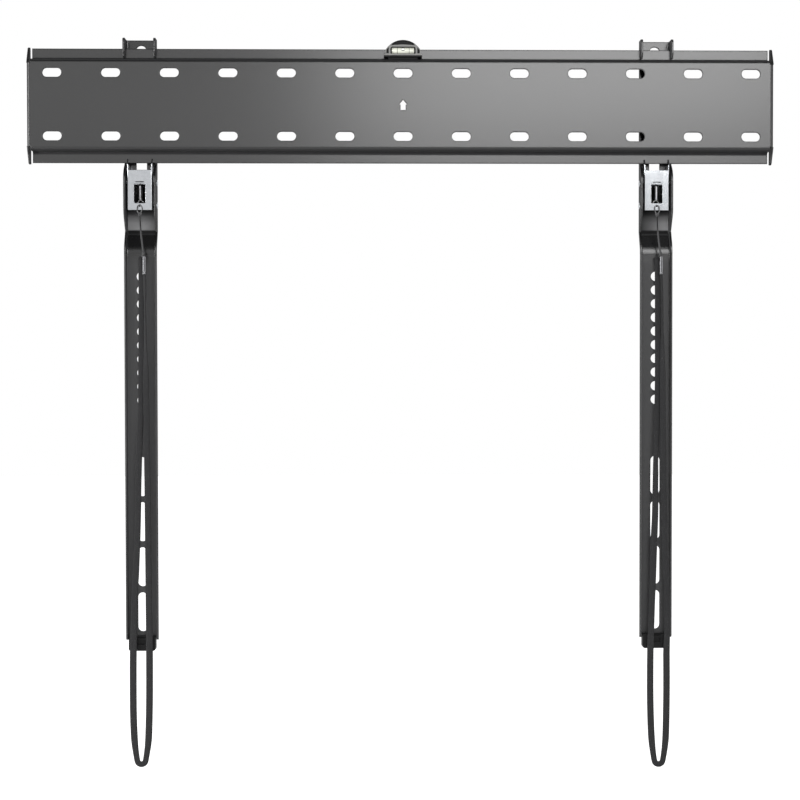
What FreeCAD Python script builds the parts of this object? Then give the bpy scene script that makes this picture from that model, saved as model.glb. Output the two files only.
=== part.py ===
import FreeCAD, Part
import math
import os

# Fixed wall mount for a large screen: a folded wall plate with two rails, and two hook-on arms,
# each held at the bottom rail by a spring latch that a hanging lace releases.
# Millimetres. X runs along the plate, Y from the wall towards the screen, Z up.
# The origin is the middle of the wall-slot pattern, on the wall face.

# Wall plate, one folded sheet
plate_length = 869.6
plate_shift = -1.2            # middle of the plate, from the middle of the slot pattern
plate_sheet = 2.0
plate_bend = 2.4              # inside radius of the folds
flat_height = 106.4           # over the outer faces of the two ledges
rail_stand_off = 10.0         # wall face to the wall side of the rails
rail_reach = 13.1             # rail edge beyond the ledge
end_flange_depth = 14.0
end_flange_bare = 5.0         # the flange's fold stops short of the ledges
ear_reach = 14.5              # ears of the end flange, beyond the ledge
ear_set_back = 1.6            # wall face to the foot of the ear's wall edge
ear_lean = 7.4                # that edge leans back this far on its way to the tip
ear_tip_radius = 4.0
ear_back_radius = 1.5
rail_end_gap = 2.8            # between the rail ends and the end flange

# Wall slots and the arrow that shows which way is up
stud_spacing = 406.4
slots_per_stud = 6
slot_end_room = 20.0          # at least this much from a slot's middle to the end of the plate
slot_row_spacing = 73.2
slot_length = 22.0
slot_width = 10.5
arrow_width = 9.6
arrow_head = 5.8
arrow_stem_width = 5.8
arrow_stem = 6.3

# Bubble level on the top ledge
level_width = 44.0
level_lip_width = 44.4
level_base_width = 34.0
level_depth = 9.2
level_base_height = 2.5       # ledge to the underside of the lip
level_lip_height = 2.8
level_lip_corner = 0.8
arch_inset = 1.5              # side of the arch inside the level's width
arch_shoulder = 5.0           # straight side of the arch, above the lip
level_height = 21.9           # ledge to the top of the arch
level_rail_gap = 0.3
level_base_inset = 2.4        # base behind the face of the lip
vial_radius = 3.9
vial_length = 31.0
vial_rise = 10.1              # ledge to the vial's axis
vial_fit = 0.05
window_width = 29.2
window_play = 0.2             # window edge to the vial
window_low_corner = 1.0
window_high_corner = 2.5
window_frame = 2.0            # raised frame beside the window
level_rim = 1.1               # raised rim round the pockets in the face
level_pocket_depth = 0.8
ridge_rise = 16.6             # ledge to the top of the ridge over the window, in its middle
ridge_fall = 2.4              # from there to its ends
ridge_height = 1.5

# Arms, two alike, each one folded channel that opens towards the wall
arm_spacing = 604.0
arm_shift = -4.6              # both arms hang a little left of the middle
arm_width = 37.6
arm_sheet = 2.0
arm_bend = 3.6                # outside radius of the channel's folds
step_bend = 3.0               # inside radius of the step's upper fold
step_low_bend = 24.0          # inside radius of its lower fold
hook_rise = 12.0              # top of the arm above the rail edge
hook_drop = 10.6              # tip of the hook below the rail edge
hook_face = 3.0               # wall face to the wall edge of the hook
hook_lead = 6.0               # length of the tapered tip
hook_taper = 2.0
hook_tip_chamfer = 2.2
hook_tip_radius = 0.8
hook_lead_radius = 2.0
hook_top_radius = 4.0
notch_radius = 0.5
rail_play = 0.4               # hook to rail, each side
rail_seat = 0.2               # hook to the rail's edge
upper_face = 21.0             # wall face to the screen side of the upper web
lower_face = 13.5             # wall face to the screen side of the lower web
lower_edge = 6.0              # wall face to the flange edge of the lower channel
rail_clear = 1.2              # shoulder below the bottom rail
shoulder_drop = 8.1           # corner of the shoulder below its start
shoulder_radius = 25.0
housing_drop = 49.0           # straight flange beside the latch, below the shoulder's corner
waist_drop = 78.8             # waist below the bottom rail's edge
waist_depth = 5.5             # flange left at the waist, on the web
waist_radius = 1.5
waist_run = 19.0              # waist to the corner of the lower flange edge
lower_radius = 30.0
step_drop = 79.4              # upper fold of the step below the bottom rail's edge
step_height = 21.8
flange_end_drop = 558.1       # lower end of the flanges below the bottom rail's edge
flange_end_radius = 4.0
tongue_side_gap = 2.8         # relief between the tongue and each flange
tongue_length = 8.0           # web beyond the flanges, which carries the end cap
tongue_relief = 3.4           # relief cuts beside the tongue, into the web
tongue_corner = 2.0

# Holes in the arm's web
screen_hole_radius = 5.5
screen_hole_count = 10
screen_hole_pitch = 16.1
screen_hole_drop = 132.0      # first hole below the bottom rail's edge
screen_slot_length = 46.0
screen_slot_count = 4
screen_slot_pitch = 53.05
screen_slot_drop = 366.5      # middle of the first slot below the bottom rail's edge
top_hole_radius = 6.0
upper_slot_width = 12.3
upper_slot_length = 46.0

# Latch, zinc-plated sheet folded to a channel, inside the arm
latch_side_gap = 1.95         # latch to the arm's flange, each side
latch_sheet = 1.5
latch_bend = 1.8              # outside radius
latch_face = 5.0              # wall face to the latch's face
latch_depth = 12.0
latch_height = 46.5
latch_top_drop = 8.7          # top of the latch's face below the bottom rail's edge
ear_catch = 4.4               # ears rise this far behind the rail
ear_slope = 6.6               # fall of the ear's sloped top
ear_top = 1.2
latch_back_corner = 3.0
latch_travel = 8.0
latch_window_width = 13.3
latch_window_height = 22.9
latch_window_drop = 15.6      # below the top of the face
latch_window_corner = 1.5
lance_length = 9.8            # narrow cut over the window
lance_width = 0.9
lance_rise = 1.9              # above the window
string_hole_radius = 1.3
string_hole_rise = 5.1        # above the lower edge of the face

# Pins, spring and the tab that the spring pulls on
pin_y = 11.5                  # wall face to the axis of the pins and of the spring
pin_fit = 0.05                # pin in the arm, on the radius
slot_fit = 0.2                # pin in the latch's slots, on the radius
spring_pin_radius = 2.5
spring_pin_drop = 23.2        # below the bottom rail's edge
rivet_radius = 2.0
rivet_drop = 49.3
head_radius = 3.6
head_height = 1.5
head_edge = 0.9
rivet_inside = 1.0            # rivet end beyond the latch's wall
spring_radius = 4.0
spring_wire = 1.0
spring_loop_play = 0.3
tab_width = 2.6
tab_play = 0.35               # lower loop to the tab's underside
tab_corner_gap = 0.1
tab_reach = 8.5               # from the latch's face

# End cap
cap_side_gap = 1.3            # cap to the line of each flange's inner side
cap_face = 5.0                # wall face to the cap's face
cap_height = 17.0
cap_cover = 4.8               # cap above the flange ends
cap_back = 0.8                # wall of the cap on the screen side of the web
cap_fit = 0.05
cap_corner = 2.5
cap_top_corner = 0.8
cap_recess_width = 10.5
cap_recess_depth = 1.5
cap_recess_height = 5.0
cap_groove_height = 1.6
cap_bar = 2.4                 # bar between the groove and the recess
cap_rim = 0.6                 # over the groove

# Cords: a thin string from the latch, then a lace in a long loop
cord_y = 2.9                  # wall face to the plane that the cords hang in
string_diameter = 2.0
cord_sides = 6                # the string, its eye and its knots have plain flat sides
arc_share = 0.45              # of the shorter run, taken by the arc at a point
eye_diameter = 1.1
eye_width = 4.6
eye_drop = 10.2               # from the string hole to the knot
bead_radius = 1.5
knot_radius = 1.9
knot_height_share = 0.9       # half the knot's height, in radii
knot_end_share = 0.4          # its narrow ends, in radii
tie_radius = 2.2
tie_gap = 0.4                 # tie to the lace and the ferrule below it
stem_radius = 0.9
lace_width = 7.0
lace_thickness = 1.8
ferrule_radius = 2.15
ferrule_length = 21.6
ferrule_edge = 0.5
flare_radius = 2.45           # lower end of the ferrule
flare_length = 3.0
ferrule_gap = 0.1             # ferrule to the lace that comes out of it

# Routes as the photo shows them: X from the arm's middle, depth behind the cords' plane, and Z
string_routes = {
    "left": [(0.5, 0, -126.6), (0.9, 0, -141.0), (2.4, 0, -157.0), (4.4, 0, -172.2)],
    "right": [(-0.1, 0, -126.6), (0.1, 0, -141.0), (1.7, 0, -157.0), (3.9, 0, -172.2)],
}
lace_routes = {
    "left": [
        (5.3, 0, -197.0), (6.0, 0, -216.0), (6.3, 0, -262.0), (6.4, 0, -310.0),
        (7.5, 0, -412.0), (8.6, 0, -590.0),
        (8.65, 0, -650.0), (8.4, 0, -695.0), (7.8, 0, -720.0), (7.15, 0, -738.5), (6.4, 0, -748.5),
        (5.2, 0, -757.5), (3.8, 0, -766.45), (1.87, 0, -768.68), (-0.95, 0, -769.51), (-3.77, 0, -768.68),
        (-5.7, 0, -766.45), (-7.1, 0, -757.5), (-8.3, 0, -748.5), (-9.1, 0, -738.5), (-9.9, 0, -720.0),
        (-10.25, 0, -695.0), (-10.0, 0, -635.0), (-8.2, 0.4, -575.0), (-4.9, 1.3, -485.0),
        (-3.6, 1.9, -418.0), (-0.2, 2.9, -325.0), (0.8, 3.6, -262.0), (1.1, 3.6, -205.0), (0.95, 3.6, -175.4),
    ],
    "right": [
        (4.9, 0, -197.0), (5.9, 0, -216.0), (6.3, 0, -262.0), (6.8, 0, -310.0),
        (8.0, 0, -414.0), (11.0, 0, -580.0),
        (11.75, 0, -650.0), (11.9, 0, -690.0), (11.5, 0, -720.0), (11.0, 0, -742.0), (9.9, 0, -755.0),
        (8.9, 0, -763.0), (7.6, 0, -770.65), (5.67, 0, -772.88), (2.85, 0, -773.71), (0.03, 0, -772.88),
        (-1.9, 0, -770.65), (-3.2, 0, -763.0), (-4.3, 0, -755.0), (-5.6, 0, -742.0), (-6.6, 0, -720.0),
        (-7.25, 0, -690.0), (-7.2, 0, -650.0), (-6.6, 0.2, -605.0), (-4.9, 0.7, -550.0), (-2.4, 1.3, -485.0),
        (-1.2, 1.9, -420.0), (1.7, 2.7, -342.0), (1.8, 3.6, -265.0), (1.6, 3.6, -205.0), (1.3, 3.6, -175.4),
    ],
}

# Places worked out from the sizes above
ledge = flat_height / 2
rail_edge = ledge + rail_reach
rail_front = rail_stand_off + plate_sheet
slot_pitch = stud_spacing / slots_per_stud
slots_each_side = int((plate_length / 2 - slot_end_room) / slot_pitch)
arm_top = rail_edge + hook_rise
arm_inside = arm_width - 2 * arm_sheet
tongue_width = arm_inside - 2 * tongue_side_gap
latch_width = arm_inside - 2 * latch_side_gap
cap_width = arm_inside - 2 * cap_side_gap
step_top = -rail_edge - step_drop
step_bottom = step_top - step_height
flange_end = -rail_edge - flange_end_drop
latch_top = -rail_edge - latch_top_drop
latch_bottom = latch_top - latch_height
latch_back = latch_face + latch_depth
spring_pin_z = -rail_edge - spring_pin_drop
rivet_z = -rail_edge - rivet_drop
window_top = latch_top - latch_window_drop
window_bottom = window_top - latch_window_height
string_hole_z = latch_bottom + string_hole_rise
cap_top = flange_end + cap_cover
cap_bottom = cap_top - cap_height
arm_places = {
    "left": arm_shift - arm_spacing / 2,
    "right": arm_shift + arm_spacing / 2,
}


def point(x, y, z):
    return FreeCAD.Vector(x, y, z)


def block(x_low, x_high, y_low, y_high, z_low, z_high):
    return Part.makeBox(x_high - x_low, y_high - y_low, z_high - z_low, point(x_low, y_low, z_low))


def rounded_wire(corners, radii):
    # closed outline with each corner rounded by its radius, or left sharp where that is 0
    ends = []
    for i, corner in enumerate(corners):
        if radii[i] == 0:
            ends.append((corner, None, corner))
            continue
        back = (corners[i - 1] - corner).normalize()
        ahead = (corners[(i + 1) % len(corners)] - corner).normalize()
        half = back.getAngle(ahead) / 2
        middle = (back + ahead).normalize()
        crest = corner + middle * (radii[i] / math.sin(half) - radii[i])
        setback = radii[i] / math.tan(half)
        ends.append((corner + back * setback, crest, corner + ahead * setback))
    edges = []
    for i, (start, crest, end) in enumerate(ends):
        if crest is not None:
            edges.append(Part.Arc(start, crest, end).toShape())
        following = ends[(i + 1) % len(ends)][0]
        if end.distanceToPoint(following) > 1e-6:
            edges.append(Part.LineSegment(end, following).toShape())
    return Part.Wire(edges)


def side_plate(outline, x_low, x_high):
    # outline: (y, z, corner radius), pulled along X
    corners = [point(x_low, y, z) for y, z, radius in outline]
    wire = rounded_wire(corners, [radius for y, z, radius in outline])
    return Part.Face(wire).extrude(point(x_high - x_low, 0, 0))


def front_plate(outline, y_low, y_high):
    # outline: (x, z, corner radius), pulled along Y
    corners = [point(x, y_low, z) for x, z, radius in outline]
    wire = rounded_wire(corners, [radius for x, z, radius in outline])
    return Part.Face(wire).extrude(point(0, y_high - y_low, 0))


def top_plate(outline, z_low, z_high):
    # outline: (x, y, corner radius), pulled along Z
    corners = [point(x, y, z_low) for x, y, radius in outline]
    wire = rounded_wire(corners, [radius for x, y, radius in outline])
    return Part.Face(wire).extrude(point(0, 0, z_high - z_low))


def long_hole(x, z, length, width, along, y_low, y_high):
    # slot with round ends, cut along Y; its long way is "x" or "z"
    ahead = point(1, 0, 0) if along == "x" else point(0, 0, 1)
    across = point(0, 0, 1) if along == "x" else point(1, 0, 0)
    side = across * (width / 2)
    tip = ahead * (length / 2)
    bend = ahead * ((length - width) / 2)
    centre = point(x, y_low, z)
    edges = [
        Part.LineSegment(centre - bend + side, centre + bend + side).toShape(),
        Part.Arc(centre + bend + side, centre + tip, centre + bend - side).toShape(),
        Part.LineSegment(centre + bend - side, centre - bend - side).toShape(),
        Part.Arc(centre - bend - side, centre - tip, centre - bend + side).toShape(),
    ]
    return Part.Face(Part.Wire(edges)).extrude(point(0, y_high - y_low, 0))


def round_hole(x, z, radius, y_low, y_high):
    return Part.makeCylinder(radius, y_high - y_low, point(x, y_low, z), point(0, 1, 0))


def cross_pin(x_low, x_high, radius, z):
    return Part.makeCylinder(radius, x_high - x_low, point(x_low, pin_y, z), point(1, 0, 0))


def make_wall_plate():
    outer = plate_bend + plate_sheet
    inner_ledge = ledge - plate_sheet
    rail_end = plate_length / 2 - plate_sheet - rail_end_gap
    section = [
        (0, -ledge, outer), (0, ledge, outer),
        (rail_stand_off, ledge, plate_bend), (rail_stand_off, rail_edge, 0),
        (rail_front, rail_edge, 0), (rail_front, inner_ledge, outer),
        (plate_sheet, inner_ledge, plate_bend), (plate_sheet, -inner_ledge, plate_bend),
        (rail_front, -inner_ledge, outer), (rail_front, -rail_edge, 0),
        (rail_stand_off, -rail_edge, 0), (rail_stand_off, -ledge, plate_bend),
    ]
    plate = side_plate(section, -rail_end, rail_end)
    fold_half = ledge - end_flange_bare
    ear_half = ledge + ear_reach
    half = plate_length / 2
    flange_in = half - plate_sheet
    ear_tip = ear_set_back + ear_lean
    flange = [
        (outer, -fold_half, 0), (outer, fold_half, 0),
        (ear_set_back, fold_half, 0), (ear_tip, ear_half, ear_tip_radius),
        (end_flange_depth, ear_half, ear_back_radius), (end_flange_depth, -ear_half, ear_back_radius),
        (ear_tip, -ear_half, ear_tip_radius), (ear_set_back, -fold_half, 0),
    ]
    fold_reach = (outer + end_flange_depth) / 2
    fold = [
        (rail_end, 0, 0), (half, 0, outer), (half, fold_reach, 0),
        (flange_in, fold_reach, 0), (flange_in, plate_sheet, plate_bend), (rail_end, plate_sheet, 0),
    ]
    end = top_plate(fold, -fold_half, fold_half).fuse(side_plate(flange, flange_in, half))
    plate = plate.fuse([end, end.mirror(point(0, 0, 0), point(1, 0, 0))]).removeSplitter()
    plate.translate(point(plate_shift, 0, 0))
    cuts = [arrow_hole()]
    for column in range(-slots_each_side, slots_each_side + 1):
        x = column * slot_pitch
        for z in (-slot_row_spacing / 2, slot_row_spacing / 2):
            cuts.append(long_hole(x, z, slot_length, slot_width, "x", -1, plate_sheet + 1))
    return plate.cut(cuts)


def arrow_hole():
    # the arrow's middle is at the plate's middle
    tip = (arrow_head + arrow_stem) / 2
    neck = tip - arrow_head
    half_head = arrow_width / 2
    half_stem = arrow_stem_width / 2
    outline = [
        (0, tip, 0), (half_head, neck, 0), (half_stem, neck, 0), (half_stem, -tip, 0),
        (-half_stem, -tip, 0), (-half_stem, neck, 0), (-half_head, neck, 0),
    ]
    return front_plate(outline, -1, plate_sheet + 1)


def level_depth_range():
    back = rail_stand_off - level_rail_gap
    return back - level_depth, back


def make_level_housing():
    front, back = level_depth_range()
    lip_low = ledge + level_base_height
    lip_high = lip_low + level_lip_height
    base_back = rail_stand_off - plate_bend - level_rail_gap
    base_half = level_base_width / 2
    base = block(-base_half, base_half, front + level_base_inset, base_back, ledge, lip_low)
    lip_half = level_lip_width / 2
    lip = front_plate([
        (-lip_half, lip_low, level_lip_corner), (lip_half, lip_low, level_lip_corner),
        (lip_half, lip_high, level_lip_corner), (-lip_half, lip_high, level_lip_corner),
    ], front, back)
    crown = point(0, front, ledge + level_height)
    foot = level_width / 2 - arch_inset
    shoulder = lip_high + arch_shoulder
    left = point(-foot, front, shoulder)
    right = point(foot, front, shoulder)
    left_foot = point(-foot, front, lip_high)
    right_foot = point(foot, front, lip_high)
    outline = Part.Wire([
        Part.Arc(left, crown, right).toShape(),
        Part.LineSegment(right, right_foot).toShape(),
        Part.LineSegment(right_foot, left_foot).toShape(),
        Part.LineSegment(left_foot, left).toShape(),
    ])
    arch = Part.Face(outline).extrude(point(0, back - front, 0))
    housing = base.fuse([lip, arch]).removeSplitter()
    vial_z = ledge + vial_rise
    window_half = window_width / 2
    low = vial_z - vial_radius - window_play
    high = vial_z + vial_radius + window_play
    window = front_plate([
        (-window_half, low, window_low_corner), (window_half, low, window_low_corner),
        (window_half, high, window_high_corner), (-window_half, high, window_high_corner),
    ], front - 1, back + 1)
    socket = vial_solid(vial_fit)
    return housing.cut([window, socket, level_pockets(front, lip_high, foot)])


def level_pockets(front, lip_high, foot):
    # three shallow pockets in the face: over the ridge, and each side of the window's frame
    crown = ledge + level_height
    rise = crown - lip_high - arch_shoulder
    arch_radius = (foot ** 2 + rise ** 2) / (2 * rise)
    y_low = front - 1
    y_high = front + level_pocket_depth
    half = level_width / 2
    side = foot - level_rim
    inside = round_hole(0, crown - arch_radius, arch_radius - level_rim, y_low, y_high).common(
        block(-side, side, y_low, y_high, lip_high, crown))
    top = ledge + ridge_rise
    low = top - ridge_height
    left_top = point(-half, y_low, top - ridge_fall)
    right_top = point(half, y_low, top - ridge_fall)
    left_low = point(-half, y_low, low - ridge_fall)
    right_low = point(half, y_low, low - ridge_fall)
    ridge = Part.Wire([
        Part.Arc(left_top, point(0, y_low, top), right_top).toShape(),
        Part.LineSegment(right_top, right_low).toShape(),
        Part.Arc(right_low, point(0, y_low, low), left_low).toShape(),
        Part.LineSegment(left_low, left_top).toShape(),
    ])
    frame_half = window_width / 2 + window_frame
    return inside.cut([
        Part.Face(ridge).extrude(point(0, y_high - y_low, 0)),
        block(-frame_half, frame_half, y_low, y_high, lip_high, low),
        block(-half, half, y_low, y_high, ledge - half, lip_high + level_rim),
    ])


def vial_solid(extra):
    front, back = level_depth_range()
    axis = point(-vial_length / 2 - extra, (front + back) / 2, ledge + vial_rise)
    return Part.makeCylinder(vial_radius + extra, vial_length + 2 * extra, axis, point(1, 0, 0))


def make_level_vial():
    return vial_solid(0)


def screen_side(offset):
    # screen side of the web, moved towards the wall by the offset, as (y, z) corners of the step
    run = math.atan2(upper_face - lower_face, step_height)
    shift = (arm_sheet - offset) * math.tan(run / 2)
    return [(upper_face - offset, step_top - shift), (lower_face - offset, step_bottom - shift)]


def arm_outline():
    # flange of the arm seen from the side, from the top of the web round to the hook
    upper_step, lower_step = screen_side(0)
    shoulder = -rail_edge - rail_clear
    shoulder_corner = shoulder - shoulder_drop
    waist = -rail_edge - waist_drop
    notch_back = rail_front + rail_play
    notch_front = rail_stand_off - rail_play
    tip = rail_edge - hook_drop
    return [
        (upper_face, arm_top, 0),
        (upper_step[0], upper_step[1], step_bend + arm_sheet),
        (lower_step[0], lower_step[1], step_low_bend),
        (lower_face, flange_end, 0),
        (lower_edge, flange_end, flange_end_radius),
        (lower_edge, waist - waist_run, lower_radius),
        (upper_face - arm_sheet - waist_depth, waist, waist_radius),
        (hook_face, shoulder_corner - housing_drop, shoulder_radius),
        (hook_face, shoulder_corner, shoulder_radius),
        (notch_back, shoulder, 0),
        (notch_back, rail_edge + rail_seat, notch_radius),
        (notch_front, rail_edge + rail_seat, notch_radius),
        (notch_front, tip + hook_tip_chamfer, 0),
        (notch_front - hook_tip_chamfer, tip, 0),
        (hook_face + hook_taper, tip, hook_tip_radius),
        (hook_face, tip + hook_lead, hook_lead_radius),
        (hook_face, arm_top, hook_top_radius),
    ]


def web_side_edges(solid, half, web_least):
    # long edges, on both sides, of the faces that look to the screen
    edges = []
    for face in solid.Faces:
        u_low, u_high, v_low, v_high = face.ParameterRange
        normal = face.normalAt((u_low + u_high) / 2, (v_low + v_high) / 2)
        if normal.y < 0.5 or face.CenterOfMass.y < web_least - 0.01:
            continue
        edges += [edge for edge in face.Edges if abs(abs(edge.CenterOfMass.x) - half) < 0.01]
    return edges


def make_arm():
    half = arm_width / 2
    arm = side_plate(arm_outline(), -half, half)
    arm = arm.makeFillet(arm_bend, web_side_edges(arm, half, lower_face))
    inner = screen_side(arm_sheet)
    beyond = 10.0
    hollow = [
        (upper_face - arm_sheet, arm_top + beyond, 0),
        (inner[0][0], inner[0][1], step_bend),
        (inner[1][0], inner[1][1], step_low_bend + arm_sheet),
        (lower_face - arm_sheet, flange_end - beyond, 0),
        (-beyond, flange_end - beyond, 0),
        (-beyond, arm_top + beyond, 0),
    ]
    web_back = lower_face - arm_sheet
    inside = side_plate(hollow, -arm_inside / 2, arm_inside / 2)
    inside = inside.makeFillet(arm_bend - arm_sheet, web_side_edges(inside, arm_inside / 2, web_back))
    arm = arm.cut(inside)
    relief_top = flange_end + tongue_relief
    reliefs = []
    for side in (-1, 1):
        edges = sorted((side * tongue_width / 2, side * arm_inside / 2))
        reliefs.append(block(edges[0], edges[1], web_back - 1, lower_face + 1, flange_end - 1, relief_top))
    arm = arm.cut(reliefs)
    tongue_half = tongue_width / 2
    tongue_end = flange_end - tongue_length
    tongue = front_plate([
        (-tongue_half, tongue_end, tongue_corner), (tongue_half, tongue_end, tongue_corner),
        (tongue_half, relief_top, 0), (-tongue_half, relief_top, 0),
    ], web_back, lower_face)
    arm = arm.fuse(tongue).removeSplitter()
    return arm.cut(web_holes() + flange_holes())


def web_holes():
    lower_from = lower_face - arm_sheet - 1
    upper_from = upper_face - arm_sheet - 1
    holes = []
    for i in range(screen_hole_count):
        z = -rail_edge - screen_hole_drop - i * screen_hole_pitch
        holes.append(round_hole(0, z, screen_hole_radius, lower_from, lower_face + 1))
    for i in range(screen_slot_count):
        z = -rail_edge - screen_slot_drop - i * screen_slot_pitch
        width = 2 * screen_hole_radius
        holes.append(long_hole(0, z, screen_slot_length, width, "z", lower_from, lower_face + 1))
    holes.append(round_hole(0, rail_edge, top_hole_radius, upper_from, upper_face + 1))
    upper_to = upper_face + 1
    holes.append(long_hole(0, -rail_edge, upper_slot_length, upper_slot_width, "z", upper_from, upper_to))
    return holes


def flange_holes():
    half = arm_width / 2 + 1
    return [
        cross_pin(-half, half, spring_pin_radius + pin_fit, spring_pin_z),
        cross_pin(-half, half, rivet_radius + pin_fit, rivet_z),
    ]


def make_latch():
    half = latch_width / 2
    inside = half - latch_sheet
    catch = rail_stand_off - rail_play
    ear_tip = -rail_edge + ear_catch
    side = [
        (latch_face, latch_bottom, 0), (latch_back, latch_bottom, latch_back_corner),
        (latch_back, -rail_edge - rail_clear, latch_back_corner), (catch, -rail_edge - rail_clear, 0),
        (catch, ear_tip, 0), (catch - ear_top, ear_tip, 0),
        (latch_face, ear_tip - ear_slope, 0),
    ]
    latch = side_plate(side, -half, half)
    folds = []
    for edge in latch.Edges:
        middle = edge.CenterOfMass
        on_side = abs(abs(middle.x) - half) < 0.01
        if on_side and abs(middle.y - latch_face) < 0.01:
            folds.append(edge)
    latch = latch.makeFillet(latch_bend, folds)
    cuts = [
        block(-inside, inside, latch_face + latch_sheet, latch_back + 1, latch_bottom - 1, 0),
        block(-inside, inside, latch_face - 1, latch_back + 1, latch_top, 0),
        front_plate([
            (-latch_window_width / 2, window_bottom, latch_window_corner),
            (latch_window_width / 2, window_bottom, latch_window_corner),
            (latch_window_width / 2, window_top, latch_window_corner),
            (-latch_window_width / 2, window_top, latch_window_corner),
        ], latch_face - 1, latch_face + latch_sheet + 1),
        round_hole(0, string_hole_z, string_hole_radius, latch_face - 1, latch_face + latch_sheet + 1),
        long_hole(0, window_top + lance_rise, lance_length, lance_width, "x",
                  latch_face - 1, latch_face + latch_sheet + 1),
    ]
    cuts += [guide_slot(spring_pin_radius, spring_pin_z), guide_slot(rivet_radius, rivet_z)]
    tab = block(-tab_width / 2, tab_width / 2, latch_face, latch_face + tab_reach,
                window_bottom - latch_sheet, window_bottom)
    return latch.cut(cuts).fuse(tab).removeSplitter()


def guide_slot(pin_radius, z):
    # slot through both sides of the latch; the pin stands at its lower end while the latch is up
    radius = pin_radius + slot_fit
    half = latch_width / 2 + 1
    top = z + latch_travel
    slot = cross_pin(-half, half, radius, z).fuse(cross_pin(-half, half, radius, top))
    return slot.fuse(block(-half, half, pin_y - radius, pin_y + radius, z, top))


def make_spring_pin():
    half = arm_width / 2
    pin = cross_pin(-half, half, spring_pin_radius, spring_pin_z)
    head = bevelled_head(spring_pin_z)
    return pin.fuse([head, head.mirror(point(0, 0, 0), point(1, 0, 0))]).removeSplitter()


def bevelled_head(z):
    # head on the outside of the right flange
    half = arm_width / 2
    head = cross_pin(half, half + head_height, head_radius, z)
    rim = [edge for edge in head.Edges if edge.Closed and edge.CenterOfMass.x > half + head_height / 2]
    return head.makeChamfer(head_edge, rim)


def make_guide_rivets():
    half = arm_width / 2
    inner_end = latch_width / 2 - latch_sheet - rivet_inside
    shank = cross_pin(inner_end, half, rivet_radius, rivet_z)
    rivet = shank.fuse(bevelled_head(rivet_z)).removeSplitter()
    return Part.makeCompound([rivet, rivet.mirror(point(0, 0, 0), point(1, 0, 0))])


def make_latch_spring():
    # close-wound body as a sleeve, with a loop over the pin and one round the latch's tab
    wire_radius = spring_wire / 2
    upper_loop = spring_pin_radius + spring_loop_play + wire_radius
    # the lower loop is wide enough for the corners of the tab
    tab_room = ((tab_width / 2 + tab_corner_gap) ** 2 + tab_play ** 2) / (2 * tab_play)
    lower_loop = tab_room + wire_radius
    lower_centre = point(0, pin_y, window_bottom - latch_sheet - tab_play + tab_room)
    body_top = spring_pin_z - upper_loop
    body_bottom = lower_centre.z + lower_loop
    body = Part.makeCylinder(spring_radius, body_top - body_bottom, point(0, pin_y, body_bottom))
    bore_length = body_top - body_bottom - 2 * spring_wire
    bore_foot = point(0, pin_y, body_bottom + spring_wire)
    bore = Part.makeCylinder(spring_radius - spring_wire, bore_length, bore_foot)
    loops = [
        wire_ring(upper_loop, point(0, pin_y, spring_pin_z), point(1, 0, 0)),
        wire_ring(lower_loop, lower_centre, point(0, 1, 0)),
    ]
    return body.cut(bore).fuse(loops)


def wire_ring(radius, centre, axis):
    half = spring_wire / 2
    start = centre - axis * half
    return Part.makeCylinder(radius + half, spring_wire, start, axis).cut(
        Part.makeCylinder(radius - half, spring_wire, start, axis))


def make_end_cap():
    half = cap_width / 2
    web_back = lower_face - arm_sheet
    cap = front_plate([
        (-half, cap_bottom, cap_corner), (half, cap_bottom, cap_corner), (half, cap_top, cap_top_corner),
        (-half, cap_top, cap_top_corner),
    ], cap_face, lower_face + cap_back)
    tongue_top = flange_end + tongue_relief
    pocket_half = tongue_width / 2 + cap_fit
    pocket_low = flange_end - tongue_length - cap_fit
    pocket = block(-pocket_half, pocket_half, web_back - cap_fit, lower_face + cap_fit,
                   pocket_low, cap_top + 1)
    # above the tongue the cap lies on the wall side of the web only
    web_room = block(-half - 1, half + 1, web_back - cap_fit, lower_face + cap_back + 1,
                     tongue_top - cap_fit, cap_top + 1)
    recess_half = cap_recess_width / 2
    groove_top = cap_top - cap_rim
    groove_low = groove_top - cap_groove_height
    recess_top = groove_low - cap_bar
    groove = block(-recess_half, recess_half, cap_face - 1, cap_face + cap_recess_depth,
                   groove_low, groove_top)
    recess = block(-recess_half, recess_half, cap_face - 1, cap_face + cap_recess_depth,
                   recess_top - cap_recess_height, recess_top)
    return cap.cut([pocket, web_room, groove, recess])


def cord_path(points):
    # straight runs with an arc at each point, as large as the shorter of its two runs allows
    places = [point(x, cord_y + depth, z) for x, depth, z in points]
    edges = []
    radii = []
    start = places[0]
    for before, corner, after in zip(places, places[1:], places[2:]):
        back = before - corner
        ahead = after - corner
        reach = arc_share * min(back.Length, ahead.Length)
        back.normalize()
        ahead.normalize()
        half_turn = (math.pi - back.getAngle(ahead)) / 2
        radius = reach / math.tan(half_turn)
        radii.append(radius)
        arc_start = corner + back * reach
        arc_end = corner + ahead * reach
        inward = (back + ahead).normalize()
        crest = corner + inward * (radius / math.cos(half_turn) - radius)
        edges.append(Part.LineSegment(start, arc_start).toShape())
        edges.append(Part.Arc(arc_start, crest, arc_end).toShape())
        start = arc_end
    edges.append(Part.LineSegment(start, places[-1]).toShape())
    return Part.Wire(edges), radii


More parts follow.
